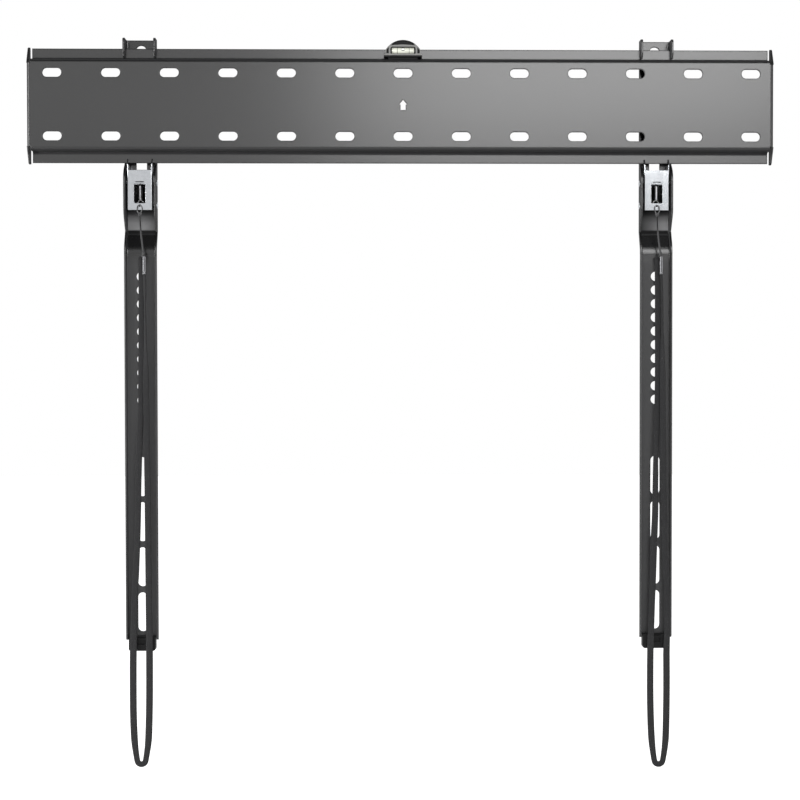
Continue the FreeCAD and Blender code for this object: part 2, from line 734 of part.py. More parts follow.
def cord_tube(name, points, half_sizes):
    # half_sizes: corners of the section, as shares along Y and across the path
    path, radii = cord_path(points)
    first = path.Edges[0]
    start = first.valueAt(first.FirstParameter)
    across = first.tangentAt(first.FirstParameter).cross(point(0, 1, 0)).normalize()
    corners = [start + point(0, depth, 0) + across * width for depth, width in half_sizes]
    section = Part.makePolygon(corners + corners[:1])
    tube = path.makePipeShell([section], True, False)
    share = tube.Volume / (path.Length * Part.Face(section).Area)
    print(name, "length", round(path.Length, 1), "volume share", round(share, 4))
    print(name, "tightest radius", round(min(radii), 1))
    return tube


def polygon_corners(radius):
    corners = []
    for i in range(cord_sides):
        angle = 2 * math.pi * i / cord_sides
        corners.append((radius * math.cos(angle), radius * math.sin(angle)))
    return corners


def knot_solid(radius, centre):
    # two flat-sided cones, foot to foot
    rings = []
    shares = ((-knot_height_share, knot_end_share), (0, 1), (knot_height_share, knot_end_share))
    for height, share in shares:
        ring = [point(x * share, y * share, height * radius) + centre for x, y in polygon_corners(radius)]
        rings.append(Part.makePolygon(ring + ring[:1]))
    return Part.makeLoft(rings, True, True)


def make_pull_string(side):
    # bead behind the latch's face, stem through its hole, eye, knot, string and the tie on the lace
    route = string_routes[side]
    tube = cord_tube(side + "_pull_string", route, polygon_corners(string_diameter / 2))
    knot_x, knot_depth, knot_z = route[0]
    knot = knot_solid(knot_radius, point(knot_x, cord_y + knot_depth, knot_z))
    bead_y = latch_face + latch_sheet + bead_radius
    bead = knot_solid(bead_radius, point(0, bead_y, string_hole_z))
    stem_low = string_hole_z - stem_radius
    stem = block(-stem_radius, stem_radius, cord_y, bead_y, stem_low, string_hole_z + stem_radius)
    return tube.fuse([knot, stem, bead, eye_ring(), lace_tie(side)])


def eight_sided(left, right, low, high, cut):
    # flat-sided outline with its corners cut off
    return [
        (left + cut, low, 0), (right - cut, low, 0), (right, low + cut, 0), (right, high - cut, 0),
        (right - cut, high, 0), (left + cut, high, 0), (left, high - cut, 0), (left, low + cut, 0),
    ]


def eye_ring():
    # long flat-sided ring in front of the latch
    half_wire = eye_diameter / 2
    outer = eye_width / 2 + half_wire
    inner = eye_width / 2 - half_wire
    high = string_hole_z + half_wire
    low = high - eye_drop
    outside = eight_sided(-outer, outer, low, high, inner)
    hole = eight_sided(-inner, inner, low + eye_diameter, high - eye_diameter, inner - half_wire)
    thick = (cord_y - half_wire, cord_y + half_wire)
    return front_plate(outside, *thick).cut(front_plate(hole, *thick))


def lace_tie(side):
    # lashing that lies across the upper end of the lace and of the ferrule
    ferrule_x, ferrule_depth, ferrule_z = lace_routes[side][0]
    lace_x, lace_depth, lace_z = lace_routes[side][-1]
    low = ferrule_z + ferrule_gap + ferrule_length + tie_gap
    high = low + 2 * tie_radius
    outline = eight_sided(lace_x - tie_radius, ferrule_x + tie_radius, low, high, tie_radius / 2)
    return front_plate(outline, cord_y - tie_radius / 2, cord_y + lace_depth + tie_radius / 2)


def make_pull_loop(side):
    thick = lace_thickness / 2
    wide = lace_width / 2
    section = [(-thick, -wide), (thick, -wide), (thick, wide), (-thick, wide)]
    return cord_tube(side + "_pull_loop", lace_routes[side], section)


def make_loop_ferrule(side):
    x, depth, z = lace_routes[side][0]
    low = z + ferrule_gap
    high = low + ferrule_length
    y = cord_y + depth
    profile = [
        (0, low), (flare_radius - ferrule_edge, low), (flare_radius, low + ferrule_edge),
        (ferrule_radius, low + flare_length), (ferrule_radius, high - ferrule_edge),
        (ferrule_radius - ferrule_edge, high), (0, high), (0, low),
    ]
    half_section = Part.makePolygon([point(x + radius, y, height) for radius, height in profile])
    return Part.Face(half_section).revolve(point(x, y, low), point(0, 0, 1), 360)


def save(name, shape, x=0.0):
    placed = shape.copy()
    placed.translate(point(x, 0, 0))
    placed.exportStep("parts/" + name + ".step")


os.makedirs("parts", exist_ok=True)
save("wall_plate", make_wall_plate())
save("level_housing", make_level_housing())
save("level_vial", make_level_vial())
arm = make_arm()
latch = make_latch()
latch_spring = make_latch_spring()
spring_pin = make_spring_pin()
guide_rivets = make_guide_rivets()
end_cap = make_end_cap()
for side, place in arm_places.items():
    save(side + "_arm", arm, place)
    save(side + "_latch", latch, place)
    save(side + "_latch_spring", latch_spring, place)
    save(side + "_spring_pin", spring_pin, place)
    save(side + "_guide_rivets", guide_rivets, place)
    save(side + "_end_cap", end_cap, place)
    save(side + "_pull_string", make_pull_string(side), place)
    save(side + "_pull_loop", make_pull_loop(side), place)
    save(side + "_loop_ferrule", make_loop_ferrule(side), place)
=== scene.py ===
import math

import bmesh
import bpy
from mathutils import Matrix, Vector


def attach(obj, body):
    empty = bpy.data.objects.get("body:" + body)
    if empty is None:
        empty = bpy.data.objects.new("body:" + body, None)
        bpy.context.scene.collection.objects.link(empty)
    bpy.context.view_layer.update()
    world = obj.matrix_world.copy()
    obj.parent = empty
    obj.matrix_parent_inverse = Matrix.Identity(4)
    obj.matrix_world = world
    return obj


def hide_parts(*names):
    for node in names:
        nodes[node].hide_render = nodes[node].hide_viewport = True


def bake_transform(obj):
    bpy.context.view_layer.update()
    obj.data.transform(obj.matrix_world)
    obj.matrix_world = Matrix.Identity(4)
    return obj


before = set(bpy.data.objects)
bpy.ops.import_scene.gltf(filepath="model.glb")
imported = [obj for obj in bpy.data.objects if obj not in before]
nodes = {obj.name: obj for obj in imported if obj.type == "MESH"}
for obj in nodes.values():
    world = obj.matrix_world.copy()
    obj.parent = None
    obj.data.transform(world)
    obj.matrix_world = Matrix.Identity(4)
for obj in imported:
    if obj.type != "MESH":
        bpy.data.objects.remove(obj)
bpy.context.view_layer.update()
scene = bpy.context.scene
scene.view_settings.view_transform = "Standard"
mm = 0.001
armPlaces = {"left": -306.6, "right": 297.4}  # middle of each arm along the plate, mm
print("frame loaded,", len(nodes), "nodes")


def linearColour(hexText, alpha=1.0):
    channels = [int(hexText[i:i + 2], 16) / 255 for i in (1, 3, 5)]
    linear = [c / 12.92 if c <= 0.04045 else ((c + 0.055) / 1.055) ** 2.4 for c in channels]
    return (*linear, alpha)


def addNode(tree, kind, inputs=None, **settings):
    node = tree.nodes.new(kind)
    for name, value in settings.items():
        setattr(node, name, value)
    for name, value in (inputs or {}).items():
        if isinstance(value, bpy.types.NodeSocket):
            tree.links.new(value, node.inputs[name])
        else:
            node.inputs[name].default_value = value
    return node


def newMaterial(name):
    material = bpy.data.materials.new(name)
    material.use_nodes = True
    shader = material.node_tree.nodes["Principled BSDF"]
    return material, material.node_tree, shader


# camera: stands a little left of the middle, level with the upper third of the arms
cameraSet = {"place": (-0.0320, -1.5005, -0.3157), "yaw": 1.062, "pitch": -1.051, "roll": -0.093, "focalPixels": 1286.0}


def makeCamera():
    yaw, pitch, roll = (math.radians(cameraSet[key]) for key in ("yaw", "pitch", "roll"))
    side = Vector((math.cos(yaw), -math.sin(yaw), 0))
    level = Vector((math.sin(yaw), math.cos(yaw), 0))
    ahead = level * math.cos(pitch) + Vector((0, 0, math.sin(pitch)))
    up = Vector((0, 0, math.cos(pitch))) - level * math.sin(pitch)
    right = side * math.cos(roll) + up * math.sin(roll)
    top = up * math.cos(roll) - side * math.sin(roll)
    data = bpy.data.cameras.new("camera")
    data.sensor_width = 36
    data.lens = 36 * cameraSet["focalPixels"] / 800
    data.clip_start, data.clip_end = 0.05, 50
    cameraObject = bpy.data.objects.new("camera", data)
    turn = Matrix((right, top, -ahead)).transposed().to_4x4()
    cameraObject.matrix_world = Matrix.Translation(Vector(cameraSet["place"])) @ turn
    scene.collection.objects.link(cameraObject)
    scene.camera = cameraObject


makeCamera()
print("camera set")

# studio: white sweep behind the mount, dark ceiling, soft boxes beside the camera
studio = {
    "sweepStrength": 1.0, "roomFill": 0.4, "ceiling": 0.03, "lowFront": 1.15, "floorHeight": -1.05, "floorGlow": 0.85, "floorMirror": 0.2,
    "lamps": [
        {"name": "softBoxRight", "place": (0.53, -1.90, 0.56), "aim": (0.0, 0, 0.0), "size": (1.40, 0.52), "power": 17.4},
        {"name": "softBoxLeft", "place": (-0.85, -1.85, 0.55), "aim": (0, 0, 0.0), "size": (1.1, 0.53), "power": 2.2},
        {"name": "windowLeft", "place": (-2.20, -0.85, -0.20), "aim": (0, 0, -0.20), "size": (0.6, 1.6), "power": 40.0},
        {"name": "windowRight", "place": (2.20, -0.85, -0.20), "aim": (0, 0, -0.20), "size": (0.6, 1.6), "power": 9.0},
    ],
}


def makeWorld():
    world = bpy.data.worlds.new("studioRoom")
    scene.world = world
    world.use_nodes = True
    tree = world.node_tree
    tree.nodes.clear()
    rays = addNode(tree, "ShaderNodeLightPath")
    way = addNode(tree, "ShaderNodeTexCoord")
    axes = addNode(tree, "ShaderNodeSeparateXYZ", {"Vector": way.outputs["Generated"]})
    front = addNode(tree, "ShaderNodeMapRange", {
        "Value": axes.outputs["Z"], "From Min": 0.13, "From Max": 0.24,
        "To Min": studio["lowFront"], "To Max": studio["ceiling"],
    }, interpolation_type="SMOOTHSTEP")
    behind = addNode(tree, "ShaderNodeMapRange", {
        "Value": axes.outputs["Y"], "From Min": -0.15, "From Max": 0.25,
    }, interpolation_type="SMOOTHSTEP")
    mirrored = addNode(tree, "ShaderNodeMix", {
        "Factor": behind.outputs[0], "A": front.outputs[0], "B": studio["sweepStrength"],
    }, data_type="FLOAT")
    sharp = addNode(tree, "ShaderNodeMath", {
        0: rays.outputs["Is Glossy Ray"], 1: rays.outputs["Is Transmission Ray"],
    }, operation="MAXIMUM")
    shown = addNode(tree, "ShaderNodeMix", {
        "Factor": sharp.outputs[0], "A": studio["roomFill"], "B": mirrored.outputs[0],
    }, data_type="FLOAT")
    level = addNode(tree, "ShaderNodeMix", {
        "Factor": rays.outputs["Is Camera Ray"], "A": shown.outputs[0], "B": studio["sweepStrength"],
    }, data_type="FLOAT")
    glow = addNode(tree, "ShaderNodeBackground", {"Color": (1, 1, 1, 1), "Strength": level.outputs[0]})
    addNode(tree, "ShaderNodeOutputWorld", {"Surface": glow.outputs[0]})


def makeFloor():
    bm = bmesh.new()
    bmesh.ops.create_grid(bm, x_segments=1, y_segments=1, size=8.0)
    bmesh.ops.translate(bm, verts=bm.verts[:], vec=(0, 0, studio["floorHeight"]))
    mesh = bpy.data.meshes.new("studioFloor")
    bm.to_mesh(mesh)
    bm.free()
    floor = bpy.data.objects.new("studioFloor", mesh)
    scene.collection.objects.link(floor)
    material, tree, shader = newMaterial("paperSweep")  # matt white paper, keeps a faint shadow under the part
    shader.inputs["Base Color"].default_value = linearColour("#f4f4f4")
    shader.inputs["Roughness"].default_value = 0.9
    rays = addNode(tree, "ShaderNodeLightPath")
    seen = addNode(tree, "ShaderNodeMath", {
        0: rays.outputs["Is Camera Ray"], 1: rays.outputs["Is Glossy Ray"],
    }, operation="MAXIMUM")
    level = addNode(tree, "ShaderNodeMix", {
        "Factor": rays.outputs["Is Camera Ray"], "A": studio["floorMirror"], "B": studio["floorGlow"],
    }, data_type="FLOAT")
    glow = addNode(tree, "ShaderNodeEmission", {"Color": (1, 1, 1, 1), "Strength": level.outputs[0]})
    both = addNode(tree, "ShaderNodeAddShader", {0: shader.outputs[0], 1: glow.outputs[0]})
    white = addNode(tree, "ShaderNodeMixShader", {0: seen.outputs[0], 1: shader.outputs[0], 2: both.outputs[0]})
    tree.links.new(white.outputs[0], tree.nodes["Material Output"].inputs["Surface"])
    mesh.materials.append(material)


def makeLamps():
    for lamp in studio["lamps"]:
        data = bpy.data.lights.new(lamp["name"], "AREA")
        data.shape = "RECTANGLE"
        data.size, data.size_y = lamp["size"]
        data.energy = lamp["power"]
        box = bpy.data.objects.new(lamp["name"], data)
        aim = Vector(lamp["aim"]) - Vector(lamp["place"])
        box.location = lamp["place"]
        box.rotation_mode = "QUATERNION"
        box.rotation_quaternion = aim.to_track_quat("-Z", "Y")
        box.visible_camera = False
        scene.collection.objects.link(box)


makeWorld()
makeFloor()
makeLamps()
print("studio lit")


# powder coat on folded sheet: satin black faces with a soft orange peel; faces turned sideways to the wall take a paler
# matt side colour, painted light on those sides, and a matt band below the lower fold stands in for the shade under the
# ledge; the upper web and the lower arm are painted paler, painted reflected light
def makePowderCoat(name, colour, sideColour, roughness, index, fold, edge, web):
    material, tree, shader = newMaterial(name)
    where = addNode(tree, "ShaderNodeTexCoord")
    cloud = addNode(tree, "ShaderNodeTexNoise", {"Vector": where.outputs["Object"], "Scale": 14.0, "Detail": 3.0})
    tone = addNode(tree, "ShaderNodeMix", {
        "Factor": cloud.outputs["Fac"], "A": linearColour(colour[0]), "B": linearColour(colour[1]),
    }, data_type="RGBA")
    peel = addNode(tree, "ShaderNodeTexNoise", {"Vector": where.outputs["Object"], "Scale": 900.0, "Detail": 2.0})  # 1.1 mm
    gloss = addNode(tree, "ShaderNodeMapRange", {
        "Value": peel.outputs["Fac"], "To Min": roughness - 0.03, "To Max": roughness + 0.03,
    })
    turned = addNode(tree, "ShaderNodeSeparateXYZ", {"Vector": where.outputs["Normal"]})
    faced = addNode(tree, "ShaderNodeMath", {0: turned.outputs["Y"]}, operation="ABSOLUTE")
    # faces turned sideways (low |normal Y|) get the paler side colour below: painted light on the sides of the sheet
    turnedAside = addNode(tree, "ShaderNodeMapRange", {"Value": faced.outputs[0], "From Min": edge[0], "From Max": edge[1]})
    axes = addNode(tree, "ShaderNodeSeparateXYZ", {"Vector": where.outputs["Object"]})
    height = addNode(tree, "ShaderNodeMath", {0: axes.outputs["Z"], 1: -1.0}, operation="MULTIPLY")  # the lower fold only
    # band just below the lower fold: matt with the side colour, painted shade under the ledge
    within = addNode(tree, "ShaderNodeMapRange", {"Value": height.outputs[0], "From Min": fold[0] * mm, "From Max": (fold[0] + 1) * mm})
    short = addNode(tree, "ShaderNodeMapRange", {"Value": height.outputs[0], "From Min": fold[1] * mm, "From Max": (fold[1] - 1.6) * mm})
    folded = addNode(tree, "ShaderNodeMath", {0: within.outputs["Result"], 1: short.outputs["Result"]}, operation="MULTIPLY")
    dull = addNode(tree, "ShaderNodeMath", {0: turnedAside.outputs["Result"], 1: folded.outputs[0]}, operation="MAXIMUM")
    # painted light: the recessed upper web between 119 and 144 mm down gets the pale web colour, fading to 0.15 towards
    # the inner flange, in place of the light it reflects
    deep = addNode(tree, "ShaderNodeMapRange", {"Value": axes.outputs["Y"], "From Min": 17.6 * mm, "From Max": 18.6 * mm})
    below = addNode(tree, "ShaderNodeMapRange", {"Value": height.outputs[0], "From Min": 100 * mm, "From Max": 102 * mm})
    inner = addNode(tree, "ShaderNodeMapRange", {"Value": turned.outputs["Y"], "From Min": -0.6, "From Max": -0.95})
    recess = addNode(tree, "ShaderNodeMath", {0: deep.outputs["Result"], 1: inner.outputs["Result"]}, operation="MULTIPLY")
    recess = addNode(tree, "ShaderNodeMath", {0: recess.outputs[0], 1: below.outputs["Result"]}, operation="MULTIPLY")
    flat = addNode(tree, "ShaderNodeMath", {0: dull.outputs[0], 1: recess.outputs[0]}, operation="MAXIMUM")
    # below 172 mm the arm goes matt and is painted paler: a painted reflection in place of the web's sheen
    lower = addNode(tree, "ShaderNodeMapRange", {"Value": height.outputs[0], "From Min": 172 * mm, "From Max": 186 * mm, "To Max": 0.58})
    flat = addNode(tree, "ShaderNodeMath", {0: flat.outputs[0], 1: lower.outputs["Result"]}, operation="MAXIMUM")
    matt = addNode(tree, "ShaderNodeMix", {"Factor": flat.outputs[0], "A": gloss.outputs["Result"], "B": 0.75}, data_type="FLOAT")
    shine = addNode(tree, "ShaderNodeMix", {"Factor": flat.outputs[0], "A": 0.5, "B": 0.15}, data_type="FLOAT")
    rolled = addNode(tree, "ShaderNodeBevel", {"Radius": 1.5 * mm}, samples=6)  # sheared edges are rolled over a little
    dimple = addNode(tree, "ShaderNodeBump", {
        "Height": peel.outputs["Fac"], "Strength": 0.06, "Distance": 0.0002, "Normal": rolled.outputs["Normal"],
    })
    under = addNode(tree, "ShaderNodeMapRange", {"Value": height.outputs[0], "From Min": 119 * mm, "From Max": 135 * mm})
    over = addNode(tree, "ShaderNodeMapRange", {"Value": height.outputs[0], "From Min": 144.4 * mm, "From Max": 142.6 * mm})
    beside = addNode(tree, "ShaderNodeMath", {0: axes.outputs["X"]}, operation="ABSOLUTE")
    outer = addNode(tree, "ShaderNodeMapRange", {"Value": beside.outputs[0], "From Min": 282 * mm, "From Max": 312 * mm, "To Min": 0.15})
    inside = recess
    for limit in (under, over, outer):
        inside = addNode(tree, "ShaderNodeMath", {0: inside.outputs[0], 1: limit.outputs["Result"]}, operation="MULTIPLY")
    paintedSheenTone = addNode(tree, "ShaderNodeMix", {
        "Factor": inside.outputs[0], "A": tone.outputs["Result"], "B": linearColour(web),
    }, data_type="RGBA")  # painted light: the upper web under the latch is painted paler, fading towards the inner flange
    # painted reflection: the lower arm is painted grey
    paintedSheenTone = addNode(tree, "ShaderNodeMix", {
        "Factor": lower.outputs["Result"], "A": paintedSheenTone.outputs["Result"], "B": linearColour("#565657"),
    }, data_type="RGBA")
    shade = addNode(tree, "ShaderNodeMix", {
        "Factor": dull.outputs[0], "A": paintedSheenTone.outputs["Result"], "B": linearColour(sideColour),
    }, data_type="RGBA")
    tree.links.new(shade.outputs["Result"], shader.inputs["Base Color"])
    tree.links.new(matt.outputs["Result"], shader.inputs["Roughness"])
    tree.links.new(shine.outputs["Result"], shader.inputs["Specular IOR Level"])
    tree.links.new(dimple.outputs["Normal"], shader.inputs["Normal"])
    shader.inputs["IOR"].default_value = index
    return material


# zinc plating: bright, slightly blue-grey metal with faint drawing lines along the strip
def makeZinc():
    material, tree, shader = newMaterial("zincPlatedSteel")
    where = addNode(tree, "ShaderNodeTexCoord")
    drawn = addNode(tree, "ShaderNodeMapping", {"Vector": where.outputs["Object"], "Scale": (900.0, 900.0, 25.0)})  # 1.1 mm
    streak = addNode(tree, "ShaderNodeTexNoise", {"Vector": drawn.outputs["Vector"], "Scale": 1.0, "Detail": 2.0})
    cloud = addNode(tree, "ShaderNodeTexNoise", {"Vector": where.outputs["Object"], "Scale": 160.0, "Detail": 3.0})  # 6 mm
    tone = addNode(tree, "ShaderNodeMix", {
        "Factor": cloud.outputs["Fac"], "A": linearColour("#a7aaae"), "B": linearColour("#c1c3c6"),
    }, data_type="RGBA")
    gloss = addNode(tree, "ShaderNodeMapRange", {"Value": streak.outputs["Fac"], "To Min": 0.10, "To Max": 0.18})
    rolled = addNode(tree, "ShaderNodeBevel", {"Radius": 0.8 * mm}, samples=6)
    scratch = addNode(tree, "ShaderNodeBump", {
        "Height": streak.outputs["Fac"], "Strength": 0.08, "Distance": 0.0002, "Normal": rolled.outputs["Normal"],
    })
    tree.links.new(tone.outputs["Result"], shader.inputs["Base Color"])
    tree.links.new(gloss.outputs["Result"], shader.inputs["Roughness"])
    tree.links.new(scratch.outputs["Normal"], shader.inputs["Normal"])
    shader.inputs["Metallic"].default_value = 1.0
    return material


# moulded ABS: deep black with a fine spark-eroded grain
def makeMouldedPlastic(name, colour, roughness, grain, shine=0.5, metal=0.0):
    material, tree, shader = newMaterial(name)
    where = addNode(tree, "ShaderNodeTexCoord")
    speck = addNode(tree, "ShaderNodeTexNoise", {"Vector": where.outputs["Object"], "Scale": 1 / (grain * mm), "Detail": 2.0})
    tone = addNode(tree, "ShaderNodeMix", {
        "Factor": speck.outputs["Fac"], "A": linearColour(colour[0]), "B": linearColour(colour[1]),
    }, data_type="RGBA")
    gloss = addNode(tree, "ShaderNodeMapRange", {
        "Value": speck.outputs["Fac"], "To Min": roughness - 0.05, "To Max": roughness + 0.05,
    })
    pits = addNode(tree, "ShaderNodeBump", {"Height": speck.outputs["Fac"], "Strength": 0.1, "Distance": 0.0002})
    tree.links.new(tone.outputs["Result"], shader.inputs["Base Color"])
    tree.links.new(gloss.outputs["Result"], shader.inputs["Roughness"])
    tree.links.new(pits.outputs["Normal"], shader.inputs["Normal"])
    shader.inputs["Specular IOR Level"].default_value = shine
    shader.inputs["Metallic"].default_value = metal
    return material


# twisted or woven cord: threads lie at a slant, so the light breaks up along it; the colour is painted darker in the
# grooves between threads and lighter on their ridges, painted shade and light
def makeCordMaterial(name, colour, thread, slant, roughness, darkStart=(-2.0, -1.0)):
    material, tree, shader = newMaterial(name)
    along = addNode(tree, "ShaderNodeAttribute", attribute_name="along")
    across = addNode(tree, "ShaderNodeAttribute", attribute_name="across")
    lean = addNode(tree, "ShaderNodeMath", {0: across.outputs["Fac"], 1: slant, 2: along.outputs["Fac"]}, operation="MULTIPLY_ADD")
    turns = addNode(tree, "ShaderNodeMath", {0: lean.outputs[0], 1: 2 * math.pi / (thread * mm)}, operation="MULTIPLY")
    ridge = addNode(tree, "ShaderNodeMath", {0: turns.outputs[0]}, operation="SINE")
    lift = addNode(tree, "ShaderNodeMapRange", {"Value": ridge.outputs[0], "From Min": -1.0, "From Max": 1.0})
    tone = addNode(tree, "ShaderNodeMix", {
        "Factor": lift.outputs["Result"], "A": linearColour(colour[0]), "B": linearColour(colour[1]),
    }, data_type="RGBA")
    where = addNode(tree, "ShaderNodeTexCoord")
    fibre = addNode(tree, "ShaderNodeTexNoise", {"Vector": where.outputs["Object"], "Scale": 1100.0, "Detail": 2.0})  # 0.9 mm
    fleck = addNode(tree, "ShaderNodeMapRange", {"Value": fibre.outputs["Fac"], "From Min": 0.62, "From Max": 0.72, "To Max": 0.5})
    lit = addNode(tree, "ShaderNodeMix", {
        "Factor": fleck.outputs["Result"], "A": tone.outputs["Result"], "B": linearColour(colour[2]),
    }, data_type="RGBA")
    startTone = addNode(tree, "ShaderNodeMapRange", {
        "Value": along.outputs["Fac"], "From Min": darkStart[0] * mm, "From Max": darkStart[1] * mm, "To Min": 0.2,
    })  # darker over its first stretch
    shaded = addNode(tree, "ShaderNodeVectorMath", {0: lit.outputs["Result"], "Scale": startTone.outputs["Result"]}, operation="SCALE")
    weave = addNode(tree, "ShaderNodeBump", {"Height": lift.outputs["Result"], "Strength": 0.6, "Distance": 0.0003})
    tree.links.new(shaded.outputs["Vector"], shader.inputs["Base Color"])
    tree.links.new(weave.outputs["Normal"], shader.inputs["Normal"])
    shader.inputs["Roughness"].default_value = roughness
    shader.inputs["Specular IOR Level"].default_value = 0.15
    shader.inputs["Sheen Weight"].default_value = 0.04
    shader.inputs["Sheen Roughness"].default_value = 0.5
    return material


# spring wire: black oxide, with a bright painted highlight down the middle of the coil, where the wire's normal turns
# least to the sides
def makeSpringWire():
    material, tree, shader = newMaterial("blackenedSpringWire")
    where = addNode(tree, "ShaderNodeTexCoord")
    turned = addNode(tree, "ShaderNodeSeparateXYZ", {"Vector": where.outputs["Normal"]})
    aside = addNode(tree, "ShaderNodeMath", {0: turned.outputs["X"]}, operation="ABSOLUTE")
    paintedGlint = addNode(tree, "ShaderNodeMapRange", {"Value": aside.outputs[0], "From Min": 0.24, "From Max": 0.06})
    tone = addNode(tree, "ShaderNodeMix", {
        "Factor": paintedGlint.outputs["Result"], "A": linearColour("#303031"), "B": linearColour("#f2f2f4"),
    }, data_type="RGBA")
    tree.links.new(tone.outputs["Result"], shader.inputs["Base Color"])
    shader.inputs["Roughness"].default_value = 0.3
    shader.inputs["Metallic"].default_value = 1.0
    return material


# level moulding: black; the raised rims of its face are painted pale, a painted highlight along their edges
def makeLevelMoulding():
    material, tree, shader = newMaterial("levelMoulding")
    where = addNode(tree, "ShaderNodeTexCoord")
    axes = addNode(tree, "ShaderNodeSeparateXYZ", {"Vector": where.outputs["Object"]})
    raised = addNode(tree, "ShaderNodeMapRange", {"Value": axes.outputs["Y"], "From Min": 0.9 * mm, "From Max": 0.6 * mm})
    above = addNode(tree, "ShaderNodeMapRange", {"Value": axes.outputs["Z"], "From Min": 57.3 * mm, "From Max": 57.7 * mm})
    below = addNode(tree, "ShaderNodeMapRange", {"Value": axes.outputs["Z"], "From Min": 71.0 * mm, "From Max": 70.0 * mm})
    band = addNode(tree, "ShaderNodeMath", {0: above.outputs["Result"], 1: below.outputs["Result"]}, operation="MULTIPLY")
    rim = addNode(tree, "ShaderNodeMath", {0: band.outputs[0], 1: raised.outputs["Result"]}, operation="MULTIPLY")
    tone = addNode(tree, "ShaderNodeMix", {
        "Factor": rim.outputs[0], "A": linearColour("#111112"), "B": linearColour("#838381"),
    }, data_type="RGBA")
    tree.links.new(tone.outputs["Result"], shader.inputs["Base Color"])
    shader.inputs["Roughness"].default_value = 0.55
    shader.inputs["Specular IOR Level"].default_value = 0.2
    return material


# spirit vial: pale fluid under a clear coat; its faint glow is painted light for the light shining through the vial
def makeVialFluid():
    material, tree, shader = newMaterial("vialFluid")
    shader.inputs["Base Color"].default_value = linearColour("#e3e5d7")
    shader.inputs["Roughness"].default_value = 0.12
    shader.inputs["Coat Weight"].default_value = 0.6
    shader.inputs["Emission Color"].default_value = linearColour("#f6f7ea")
    shader.inputs["Emission Strength"].default_value = 0.05
    return material


plateCoat = makePowderCoat("satinPowderCoat", ("#0f0f10", "#131314"), "#29292a", 0.29, 1.7, (51.5, 57.2), (0.97, 0.75), "#131314")
# arms: the pale web colour #888889 is painted light on the upper web
armCoat = makePowderCoat("satinPowderCoatArms", ("#0f0f10", "#131314"), "#3e3e3f", 0.24, 1.6, (900, 901), (0.55, 0.15), "#888889")
zincPlate = makeZinc()
blackMoulding = makeMouldedPlastic("mouldedAbs", ("#0b0b0c", "#111112"), 0.5, 0.5, 0.22)
blackWire = makeSpringWire()
greyString = makeCordMaterial("twistedGreyCord", ("#3c3c3d", "#5c5c5d", "#7a7a7b"), 1.6, 1.0, 0.7, (14.0, 21.0))
greyTie = makeCordMaterial("tiedGreyCord", ("#4a4a4b", "#6a6a6b", "#868687"), 1.6, 1.0, 0.7)
paleTie = makeCordMaterial("paleGreyCord", ("#666667", "#828283", "#9c9c9d"), 1.6, 1.0, 0.7)
blackLace = makeCordMaterial("wovenBlackLace", ("#262627", "#39393a", "#5c5c5d"), 1.1, 0.8, 0.8)
greySleeve = makeMouldedPlastic("greySleeve", ("#606062", "#6b6b6d"), 0.22, 1.5, 0.5, 1.0)
levelMoulding = makeLevelMoulding()
vialFluid = makeVialFluid()
vialMark = makeMouldedPlastic("vialMark", ("#34342f", "#3c3c36"), 0.4, 0.5)  # dark lines printed round the tube
bubbleAir = makeMouldedPlastic("bubbleAir", ("#fafbf4", "#fdfdf8"), 0.1, 1.0)  # air bubble painted near white: a painted highlight
print("materials made")


def newPiece(name, bm, material, body, smooth=True):
    bmesh.ops.recalc_face_normals(bm, faces=bm.faces[:])
    mesh = bpy.data.meshes.new(name)
    bm.to_mesh(mesh)
    bm.free()
    for face in mesh.polygons:
        face.use_smooth = smooth
    mesh.materials.append(material)
    piece = bpy.data.objects.new(name, mesh)
    scene.collection.objects.link(piece)
    if body:
        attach(piece, body)
    return piece


def splinePoints(points):
    data = bpy.data.curves.new("route", "CURVE")
    data.dimensions = "3D"
    data.resolution_u = 10
    spline = data.splines.new("NURBS")
    spline.points.add(len(points) - 1)
    for place, control in zip(points, spline.points):
        control.co = (*place, 1)
    spline.order_u = 3
    spline.use_endpoint_u = True
    route = bpy.data.objects.new("route", data)
    scene.collection.objects.link(route)
    bpy.context.view_layer.update()
    line = bpy.data.meshes.new_from_object(route.evaluated_get(bpy.context.evaluated_depsgraph_get()))
    places = [vertex.co.copy() for vertex in line.vertices]
    bpy.data.objects.remove(route)
    bpy.data.meshes.remove(line)
    return places


